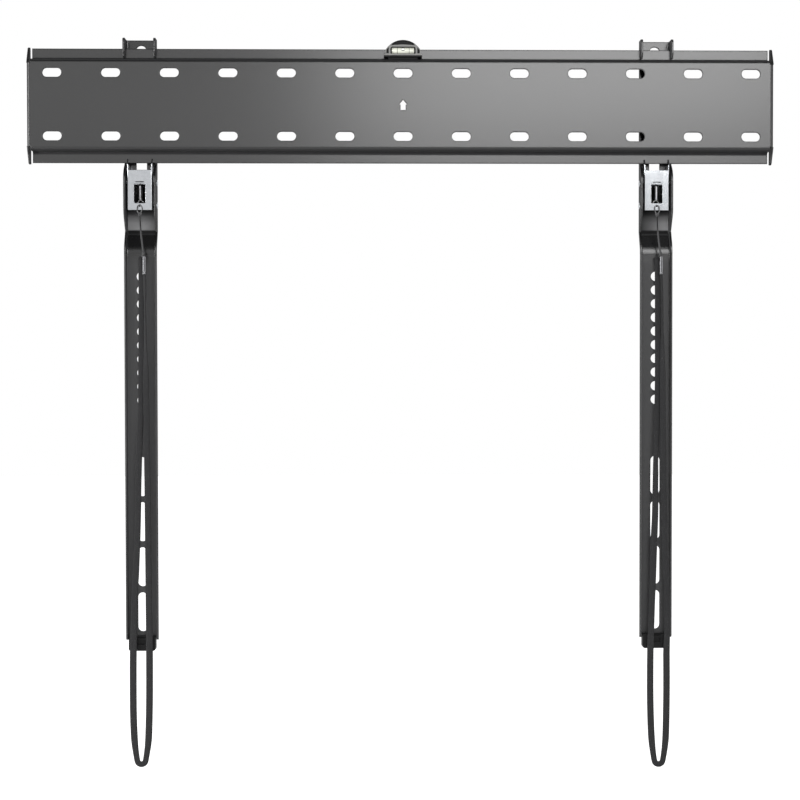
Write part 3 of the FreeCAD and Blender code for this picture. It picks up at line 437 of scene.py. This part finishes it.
def sweepAlong(places, halfWidth, halfThick, segments=14, square=1.0, twist=None):
    # a closed section carried along the points; it starts with its width in the plane of the wall
    bm = bmesh.new()
    along = bm.verts.layers.float.new("along")
    across = bm.verts.layers.float.new("across")
    stands = []
    wide = (places[1] - places[0]).cross(Vector((0, 1, 0)))
    for i, place in enumerate(places):
        ahead = (places[min(i + 1, len(places) - 1)] - places[max(i - 1, 0)]).normalized()
        wide = (wide - ahead * wide.dot(ahead)).normalized()
        turn = Matrix((wide, ahead.cross(wide), ahead)).transposed().to_4x4()
        if twist:
            angle, share, shift = twist(i / (len(places) - 1), place)
            turn = turn @ Matrix.Translation((shift * mm, 0, 0)) @ Matrix.Rotation(math.radians(angle), 4, "Z") @ Matrix.Diagonal((share, 1, 1, 1))
        stands.append(Matrix.Translation(place) @ turn)
    ring = bmesh.ops.create_circle(bm, segments=segments, radius=1.0)["verts"]
    for vertex in ring:
        x, y = vertex.co.x, vertex.co.y
        vertex[across] = math.atan2(y, x) * halfThick if square == 1.0 else x * halfWidth
        vertex.co.x = math.copysign(abs(x) ** square, x) * halfWidth
        vertex.co.y = math.copysign(abs(y) ** square, y) * halfThick
    edges = list(bm.edges)
    bmesh.ops.contextual_create(bm, geom=edges)
    bmesh.ops.transform(bm, matrix=stands[0], verts=ring)
    run = 0.0
    for i in range(1, len(places)):
        made = bmesh.ops.extrude_edge_only(bm, edges=edges)["geom"]
        ring = [item for item in made if isinstance(item, bmesh.types.BMVert)]
        edges = [item for item in made if isinstance(item, bmesh.types.BMEdge)]
        bmesh.ops.transform(bm, matrix=stands[i] @ stands[i - 1].inverted(), verts=ring)
        run += (places[i] - places[i - 1]).length
        for vertex in ring:
            vertex[along] = run
    bmesh.ops.contextual_create(bm, geom=edges)
    return bm, run


def spinProfile(bm, profile, centre, axis, steps=32):
    # profile is (radius, height along the axis) from one end of the axis to the other
    axis = Vector(axis)
    out = axis.orthogonal().normalized()
    chain = [bm.verts.new(Vector(centre) + out * radius + axis * height) for radius, height in profile]
    edges = [bm.edges.new(pair) for pair in zip(chain, chain[1:])]
    bmesh.ops.spin(bm, geom=chain + edges, cent=centre, axis=axis, angle=2 * math.pi, steps=steps, use_merge=True)
    bmesh.ops.remove_doubles(bm, verts=bm.verts[:], dist=1e-7)


def wireRing(bm, centre, axis, radius, wire, steps=36):
    axis = Vector(axis)
    out = axis.orthogonal().normalized()
    ring = bmesh.ops.create_circle(bm, segments=10, radius=wire)["verts"]
    turn = Matrix((out, axis, out.cross(axis))).transposed().to_4x4()
    bmesh.ops.transform(bm, matrix=Matrix.Translation(Vector(centre) + out * radius) @ turn, verts=ring)
    edges = list({edge for vertex in ring for edge in vertex.link_edges})
    bmesh.ops.spin(bm, geom=ring + edges, cent=centre, axis=axis, angle=2 * math.pi, steps=steps, use_merge=True)


# spring: close-wound extension spring from the cross pin to the latch's tab
spring = {"depth": 11.5, "coil": 3.5, "wire": 0.5, "top": -92.9, "turns": 16, "pin": (-89.5, 3.3), "tab": (-112.4, 3.0)}


def makeSpring(side):
    bm = bmesh.new()
    x, y = armPlaces[side] * mm, spring["depth"] * mm
    steps = 20
    ring = bmesh.ops.create_circle(bm, segments=8, radius=spring["wire"] * mm)["verts"]
    stand = Matrix.Translation((x + spring["coil"] * mm, y, spring["top"] * mm)) @ Matrix.Rotation(math.pi / 2, 4, "X")
    bmesh.ops.transform(bm, matrix=stand, verts=ring)
    bmesh.ops.spin(bm, geom=ring + list(bm.edges), cent=(x, y, 0), axis=(0, 0, 1),
                   dvec=(0, 0, -2 * spring["wire"] * mm / steps), angle=2 * math.pi * spring["turns"], steps=steps * spring["turns"])
    bmesh.ops.holes_fill(bm, edges=[edge for edge in bm.edges if edge.is_boundary], sides=8)
    height, radius = spring["pin"]
    wireRing(bm, (x, y, height * mm), (1, 0, 0), radius * mm, spring["wire"] * mm)
    height, radius = spring["tab"]
    wireRing(bm, (x, y, height * mm), (0, 1, 0), radius * mm, spring["wire"] * mm)
    piece = newPiece(side + "SpringCoil", bm, blackWire, None)
    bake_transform(piece)
    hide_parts(side + "_latch_spring")


# pins: one cross pin behind the spring's loop, two rivets lower down, all with domed heads outside the arm
pins = {"depth": 11.5, "reach": 18.8, "headRadius": 3.6, "headRise": 1.5, "crossPin": (2.5, -89.5), "rivet": (2.0, -115.6), "rivetInner": 12.35}


def pinEnd(shank):
    # from the shank to the top of the head: radius, then reach along the pin, in metres
    radius, reach, rise = pins["headRadius"] * mm, pins["reach"] * mm, pins["headRise"] * mm
    edge = 0.3 * rise
    angles = [i * math.pi / 12 for i in range(6)]
    dome = [(radius * math.cos(a), reach + edge + (rise - edge) * math.sin(a)) for a in angles]
    return [(shank * mm, reach), (radius, reach)] + dome + [(0, reach + rise)]


def makePins(side):
    shank, height = pins["crossPin"]
    end = pinEnd(shank)
    bm = bmesh.new()
    centre = (armPlaces[side] * mm, pins["depth"] * mm, height * mm)
    spinProfile(bm, [(radius, -reach) for radius, reach in reversed(end)] + end, centre, (1, 0, 0))
    pin = newPiece(side + "CrossPin", bm, zincPlate, side + "_arm")
    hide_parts(side + "_spring_pin")
    shank, height = pins["rivet"]
    inner = pins["rivetInner"] * mm
    bm = bmesh.new()
    centre = (armPlaces[side] * mm, pins["depth"] * mm, height * mm)
    for way in (1, -1):
        spinProfile(bm, [(0, inner), (shank * mm, inner)] + pinEnd(shank), centre, (way, 0, 0))
    rivets = newPiece(side + "GuideRivets", bm, zincPlate, side + "_arm")
    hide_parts(side + "_guide_rivets")


# level: pale vial behind the window, two ring lines and the bubble between them
vial = {"depth": 5.1, "height": 63.3, "radius": 3.9, "half": 15.5, "edge": 0.5, "lines": (-6.6, 7.2), "lean": 18.0, "line": 0.22, "clear": 12.9}


def makeVial():
    centre = (0, vial["depth"] * mm, vial["height"] * mm)
    radius, half, edge = vial["radius"] * mm, vial["half"] * mm, vial["edge"] * mm
    end = [(radius, half - edge), (radius - edge, half), (0, half)]
    bm = bmesh.new()
    spinProfile(bm, [(r, -reach) for r, reach in reversed(end)] + end, centre, (1, 0, 0), 40)
    barrel = newPiece("vialBarrel", bm, vialFluid, "wall_plate")
    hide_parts("level_vial")
    bm = bmesh.new()
    for place in vial["lines"]:
        wireRing(bm, (place * mm, centre[1], centre[2]), (1, 0, 0), radius, vial["line"] * mm, 40)
    newPiece("vialLines", bm, vialMark, "wall_plate")
    bm = bmesh.new()
    outer = radius + 0.04 * mm
    for way in (1, -1):
        sleeve = [(radius - edge, vial["clear"] * mm), (outer, vial["clear"] * mm), (outer, half - edge), (radius - edge, half - edge)]
        spinProfile(bm, sleeve + sleeve[:1], centre, (way, 0, 0), 40)
    newPiece("vialSleeves", bm, blackMoulding, "wall_plate")
    lean = math.radians(vial["lean"])  # bubble floats near the top of the tube
    front = Vector((0, centre[1] - radius * math.cos(lean), centre[2] + radius * math.sin(lean)))
    out = Vector((0, -math.cos(lean), math.sin(lean)))
    # bubble: a near-white painted highlight inside a dark ring, the ring being painted shade at the bubble's edge
    for name, material, sizes, lift in (("bubbleEdge", vialMark, (2.3, 0.30, 2.1), 0.0), ("bubble", bubbleAir, (2.15, 0.35, 1.45), 0.12)):
        bm = bmesh.new()
        turn = Matrix.Translation(front + out * lift * mm) @ Matrix.Rotation(-lean, 4, "X")
        bmesh.ops.create_uvsphere(bm, u_segments=28, v_segments=16, radius=mm, matrix=turn @ Matrix.Diagonal((*sizes, 1)))
        newPiece(name, bm, material, "wall_plate")


# cords: a thin string hangs from each latch and carries a long lace loop
cords = {
    "plane": 2.9, "stringDiameter": 2.0, "laceWidth": 7.0, "laceThickness": 1.8, "eyeWire": 0.5, "hole": -116.4,
    "knot": (1.9, 0.7), "stopKnot": (1.0, 0.5), "stopDepth": 5.1, "lashing": (-170.9, 3.6, 3), "lashWire": 0.5,
    "ferrule": (-175.3, -196.9, 2.15, 2.45),
    "eye": [(0.0, 4.6, -116.4), (0.0, 1.2, -116.2), (1.9, 0.0, -116.3), (2.9, 0.0, -119.4), (2.7, 0.0, -123.2), (0.6, 0.0, -126.2)],
    "stringRoutes": {
        "left": [(0.5, 0, -126.6), (0.9, 0, -141.0), (2.4, 0, -157.0), (4.4, 0, -172.2)],
        "right": [(-0.1, 0, -126.6), (0.1, 0, -141.0), (1.7, 0, -157.0), (3.9, 0, -172.2)],
    },
    "twists": {  # height, turn in degrees, share of the full width, shift along the width in mm
        "left": {"out": [(-206, 42, 0.7, 0), (-232, 64, 0.72, -0.2), (-268, 52, 0.74, -0.3), (-325, 0, 1.0, 0), (-560, 0, 1.05, 0),
                         (-640, 0, 1.16, 0.4), (-735, 0, 1.16, 0.4), (-764, 0, 0.98, 0)],
                 "back": [(-300, 0, 0.98, -0.2), (-325, 0, 0.98, -0.6), (-352, 0, 0.98, -1.3), (-385, 0, 1.0, -1.0), (-430, 0, 1.05, -0.8),
                          (-500, 0, 1.05, -1.0), (-545, 0, 1.05, -0.8), (-567, 0, 1.05, 0), (-640, 0, 1.16, 0), (-735, 0, 1.16, 0), (-764, 0, 0.98, 0)]},
        "right": {"out": [(-250, 76, 0.72, 0), (-335, 0, 1.0, 0), (-530, 0, 1.0, 0), (-555, 0, 0.96, 1.2), (-612, 0, 1.0, 1.4), (-645, 0, 1.14, 0.3), (-740, 0, 1.14, 0.3), (-768, 0, 0.98, 0)],
                  "back": [(-340, 0, 1.0, 0), (-415, 0, 0.86, -0.1), (-436, 0, 0.97, -0.45), (-478, 0, 1.08, -0.9), (-521, 0, 1.2, -0.4),
                           (-548, 0, 1.1, -0.85), (-595, 0, 1.05, -0.7), (-640, 0, 1.1, 0), (-740, 0, 1.14, 0), (-768, 0, 0.98, 0)]},
    },
    "laceRoutes": {
        "left": [
            (5.3, 0, -197.0), (6.0, 0, -216.0), (6.3, 0, -262.0), (6.4, 0, -310.0), (7.5, 0, -412.0), (8.6, 0, -590.0),
            (8.65, 0, -650.0), (8.4, 0, -695.0), (7.8, 0, -720.0), (7.15, 0, -738.5), (6.4, 0, -748.5),
            (5.2, 0, -757.5), (3.8, 0, -766.45), (1.87, 0, -768.68), (-0.95, 0, -769.51), (-3.77, 0, -768.68),
            (-5.7, 0, -766.45), (-7.1, 0, -757.5), (-8.3, 0, -748.5), (-9.1, 0, -738.5), (-9.9, 0, -720.0),
            (-10.25, 0, -695.0), (-10.0, 0, -635.0), (-8.2, 0.4, -575.0), (-4.9, 1.3, -485.0),
            (-3.6, 1.9, -418.0), (-0.2, 2.9, -325.0), (0.8, 3.6, -262.0), (1.1, 3.6, -205.0), (0.95, 3.6, -175.4),
        ],
        "right": [
            (4.9, 0, -197.0), (5.9, 0, -216.0), (6.3, 0, -262.0), (6.8, 0, -310.0), (8.0, 0, -414.0), (11.0, 0, -580.0),
            (11.75, 0, -650.0), (11.9, 0, -690.0), (11.5, 0, -720.0), (11.0, 0, -742.0), (9.9, 0, -755.0),
            (8.9, 0, -763.0), (7.6, 0, -770.65), (5.67, 0, -772.88), (2.85, 0, -773.71), (0.03, 0, -772.88),
            (-1.9, 0, -770.65), (-3.2, 0, -763.0), (-4.3, 0, -755.0), (-5.6, 0, -742.0), (-6.6, 0, -720.0),
            (-7.25, 0, -690.0), (-7.2, 0, -650.0), (-6.6, 0.2, -605.0), (-4.9, 0.7, -550.0), (-2.4, 1.3, -485.0),
            (-1.2, 1.9, -420.0), (1.7, 2.7, -342.0), (1.8, 3.6, -265.0), (1.6, 3.6, -205.0), (1.3, 3.6, -175.4),
        ],
    },
}


def routeOf(kind, side):
    points = cords[kind][side]
    return [Vector(((armPlaces[side] + x) * mm, (cords["plane"] + depth) * mm, z * mm)) for x, depth, z in points]


def makeFerrule(side):
    # soft sleeve, flared where the lace comes out
    top, low, radius, flare = (value * mm for value in cords["ferrule"])
    x, depth, z = cords["laceRoutes"][side][0]
    edge = 0.4 * mm
    profile = [(0, low), (flare - edge, low), (flare, low + edge), (flare - 0.1 * mm, low + 1.2 * mm), (radius, low + 3 * mm),
               (radius, low + 3.6 * mm), (radius, top - edge - 0.6 * mm), (radius, top - edge), (radius - edge, top), (0, top)]
    bm = bmesh.new()
    spinProfile(bm, profile, ((armPlaces[side] + x) * mm, (cords["plane"] + depth) * mm, 0), (0, 0, 1), 28)
    ferrule = newPiece(side + "Ferrule", bm, greySleeve, side + "_latch")
    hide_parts(side + "_loop_ferrule")
    return ferrule


def knotPlaces(centre, size):
    # overhand knot pulled tight
    places = []
    for i in range(43):
        a = 2 * math.pi * i / 40
        x = (math.sin(a) + 2 * math.sin(2 * a)) / 3
        z = (math.cos(a) - 2 * math.cos(2 * a)) / 3
        places.append(centre + Vector((x, -0.5 * math.sin(3 * a), z)) * size)
    return places


def makeTies(side):
    middle = armPlaces[side]
    plane = cords["plane"]
    pieces = []

    def addTie(name, places, wire, material=greyTie):
        bm, run = sweepAlong(places, wire * mm, wire * mm, 10)
        tie = newPiece(side + name, bm, material, side + "_latch")
        pieces.append(tie)

    start = routeOf("stringRoutes", side)[0]
    for way, name in ((1, "EyeRight"), (-1, "EyeLeft")):
        points = [Vector(((middle + way * x) * mm, (plane + depth) * mm, z * mm)) for x, depth, z in cords["eye"]]
        addTie(name, splinePoints(points + [start]), cords["eyeWire"], paleTie)
    size, wire = cords["knot"]
    addTie("Knot", knotPlaces(start, size * mm), wire)
    size, wire = cords["stopKnot"]
    addTie("StopKnot", knotPlaces(Vector((middle * mm, (plane + cords["stopDepth"]) * mm, cords["hole"] * mm)), size * mm), wire)
    end = routeOf("stringRoutes", side)[-1]
    lace = routeOf("laceRoutes", side)[-1]
    top, fall, turns = cords["lashing"]
    wind = cords["stringDiameter"] / 2 + cords["lashWire"]
    coil = []
    for i in range(turns * 12 + 1):
        a = 2 * math.pi * i / 12
        coil.append(Vector((end.x + wind * mm * math.cos(a), end.y + wind * mm * math.sin(a), (top - fall * i / (turns * 12)) * mm)))
    coil += [lace.lerp(coil[-1], 0.5) + Vector((0, 0.4 * mm, 0.3 * mm)), lace + Vector((0, 0, -0.6 * mm))]
    addTie("Lashing", splinePoints(coil), cords["lashWire"])
    sleeve = routeOf("laceRoutes", side)[0]
    addTie("LashedEnd", splinePoints([end, end.lerp(Vector((sleeve.x, sleeve.y, -175.0 * mm)), 0.5), Vector((sleeve.x, sleeve.y, -175.8 * mm))]), 0.95)
    return pieces


def makeCords(side):
    lacePath = splinePoints(routeOf("laceRoutes", side))
    twists = cords["twists"][side]

    def laceTwist(share, place):
        # flat in the loop, turned on edge where it goes into the sleeve and half turned on the way back up
        steps = twists["out"] if share < 0.5 else twists["back"]
        height = place.z / mm
        if height >= steps[0][0]:
            return steps[0][1:]
        for high, low in zip(steps, steps[1:]):
            if height > low[0]:
                part = (high[0] - height) / (high[0] - low[0])
                part = part * part * (3 - 2 * part)
                return [a + (b - a) * part for a, b in zip(high[1:], low[1:])]
        return steps[-1][1:]

    bm, laceLength = sweepAlong(lacePath, cords["laceWidth"] / 2 * mm, cords["laceThickness"] / 2 * mm, 16, 0.6, laceTwist)
    lace = newPiece(side + "LaceLoop", bm, blackLace, side + "_latch")
    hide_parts(side + "_pull_loop")
    makeFerrule(side)
    stringPath = splinePoints(routeOf("stringRoutes", side))
    radius = cords["stringDiameter"] / 2 * mm
    bm, stringLength = sweepAlong(stringPath, radius, radius, 12, 1.0, lambda share, place: (0, 0.42 + 0.63 * min(1, 2 * share), 0))
    string = newPiece(side + "PullString", bm, greyString, side + "_latch")
    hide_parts(side + "_pull_string")
    makeTies(side)
    print(side, "lace", round(laceLength, 4), "string", round(stringLength, 4))


makeVial()
for side in armPlaces:
    makeSpring(side)
    makePins(side)
    makeCords(side)
print("pieces made")


def dress(nodeName, material):
    mesh = nodes[nodeName].data
    mesh.materials.clear()
    mesh.materials.append(material)


dress("wall_plate", plateCoat)
dress("level_housing", levelMoulding)
dress("level_vial", vialFluid)
for side in armPlaces:
    dress(side + "_arm", armCoat)
    dress(side + "_latch", zincPlate)
    dress(side + "_latch_spring", blackWire)
    dress(side + "_spring_pin", zincPlate)
    dress(side + "_guide_rivets", zincPlate)
    dress(side + "_end_cap", blackMoulding)
    dress(side + "_loop_ferrule", greySleeve)
print("solids dressed")
